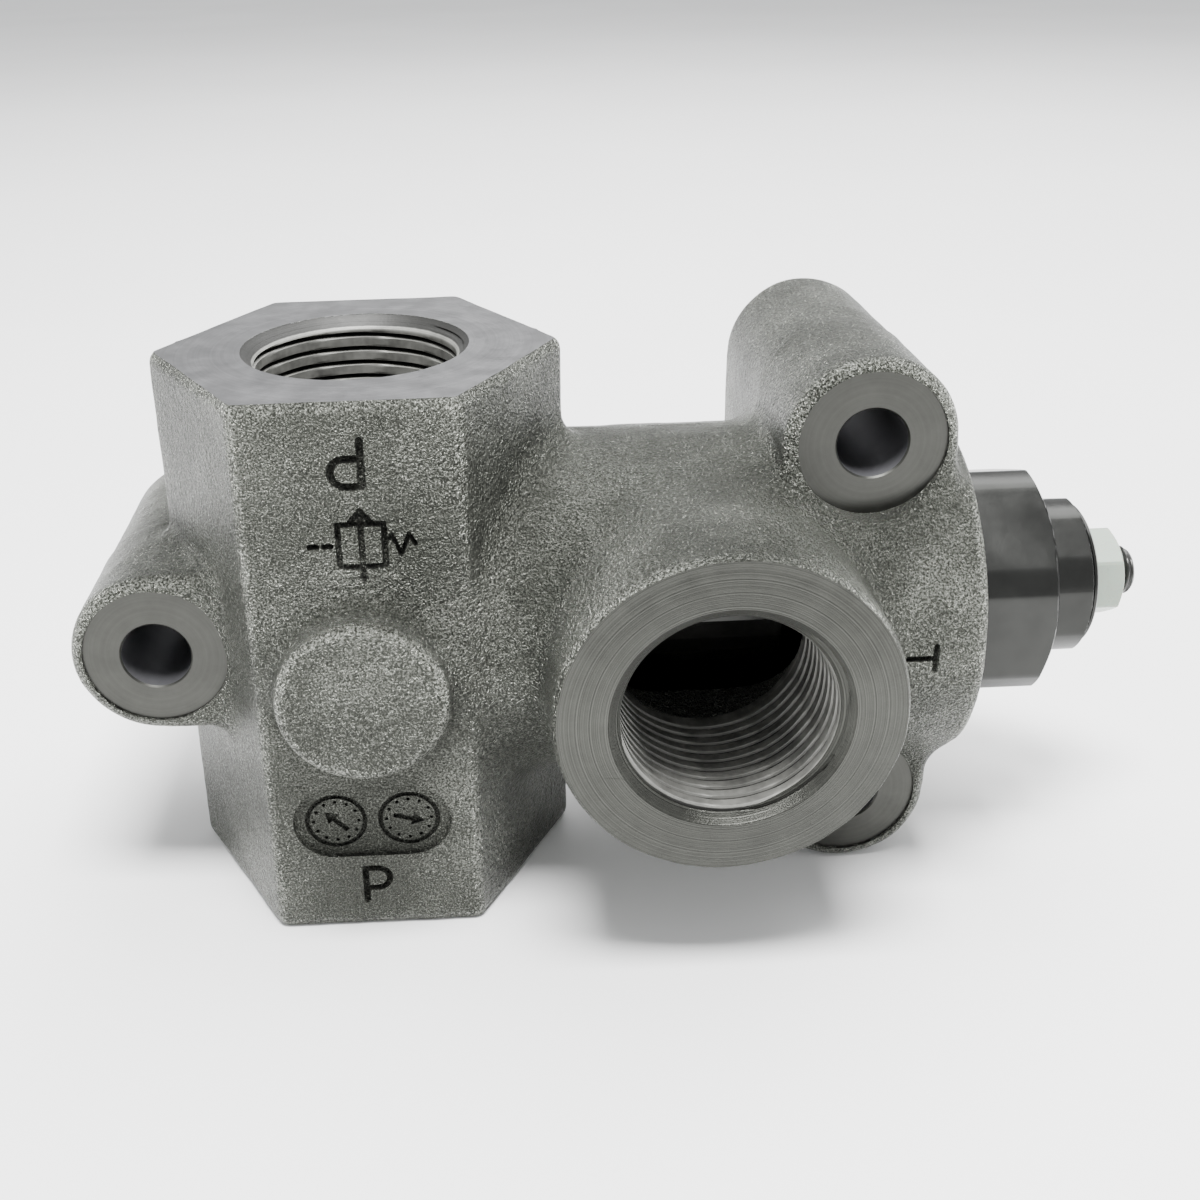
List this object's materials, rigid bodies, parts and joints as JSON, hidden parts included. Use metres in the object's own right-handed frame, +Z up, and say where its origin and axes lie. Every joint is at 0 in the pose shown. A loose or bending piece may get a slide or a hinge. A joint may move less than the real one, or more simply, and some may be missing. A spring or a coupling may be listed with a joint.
{
  "type": "in-line pressure relief valve",
  "caption": "In-line pilot-operated relief valve: iron body with in-line pressure ports, a front tank port, mounting lugs and a screw-in adjustable cartridge.",
  "frame": {"origin": "under the middle of the object's box, at the level of the lower port face that it stands on", "axes": "+X along the cartridge towards the adjusting screw, +Y towards the mounting face at the back, +Z up along the pressure ports' axis"},
  "size_m": [0.1686, 0.074, 0.086],
  "materials": {
    "cast_iron": "sand-cast skin with machined faces",
    "black_steel": "black oxide, satin",
    "steel": "ground",
    "spring_steel": "drawn wire",
    "brass": "turned",
    "white_nylon": "translucent moulded nylon",
    "rubber": "matt",
    "backup_plastic": "moulded PTFE"
  },
  "bodies": {
    "valve": {"valve_body": "cast_iron", "cartridge_body": "black_steel", "adjuster_cap": "black_steel", "main_sleeve": "black_steel", "nose_seal_ring": "rubber", "nose_backup_front": "backup_plastic", "nose_backup_rear": "backup_plastic", "sleeve_lock_wire": "spring_steel", "head_seal_ring": "rubber", "pilot_seat": "steel", "pilot_seat_seal": "rubber", "cap_seal_ring": "rubber", "main_spring": "spring_steel", "pilot_spring": "spring_steel"},
    "main_piston": {"main_poppet": "steel", "damping_orifice": "brass", "orifice_screen": "steel"},
    "pilot_cone": {"pilot_poppet": "steel", "pilot_spring_guide": "steel"},
    "follower": {"spring_follower": "steel", "follower_seal": "rubber"},
    "screw": {"adjusting_screw": "black_steel"},
    "nut_seal": {"nut_seal_washer": "rubber"},
    "nut": {"lock_nut": "white_nylon"}
  },
  "joints": [
    {"name": "main_piston_lift", "type": "slide", "parent": "valve", "child": "main_piston", "axis": [1, 0, 0], "range_m": [0, 0.005], "stiffness_N_per_m": 1500, "springref_m": -0.006, "deforming": ["main_spring"]},
    {"name": "pilot_cone_lift", "type": "slide", "parent": "valve", "child": "pilot_cone", "axis": [1, 0, 0], "range_m": [0, 0.0006], "stiffness_N_per_m": 20000, "springref_m": -0.004},
    {"name": "screw_travel", "type": "slide", "parent": "valve", "child": "follower", "axis": [1, 0, 0], "range_m": [-0.0025, 0.00313], "deforming": ["pilot_spring"]},
    {"name": "screw_turn", "type": "hinge", "parent": "follower", "child": "screw", "pos_m": [0, 0.004, 0.043], "axis": [1, 0, 0], "range_deg": [-721, 901]},
    {"name": "nut_travel", "type": "slide", "parent": "valve", "child": "nut_seal", "axis": [1, 0, 0], "range_m": [0, 0.00125]},
    {"name": "nut_turn", "type": "hinge", "parent": "nut_seal", "child": "nut", "pos_m": [0, 0.004, 0.043], "axis": [1, 0, 0], "range_deg": [-1, 361]}
  ],
  "couplings": [
    {"joint": "screw_turn", "follows": "screw_travel", "rad_per_m": 5026.5},
    {"joint": "nut_turn", "follows": "nut_travel", "rad_per_m": 5026.5}
  ]
}
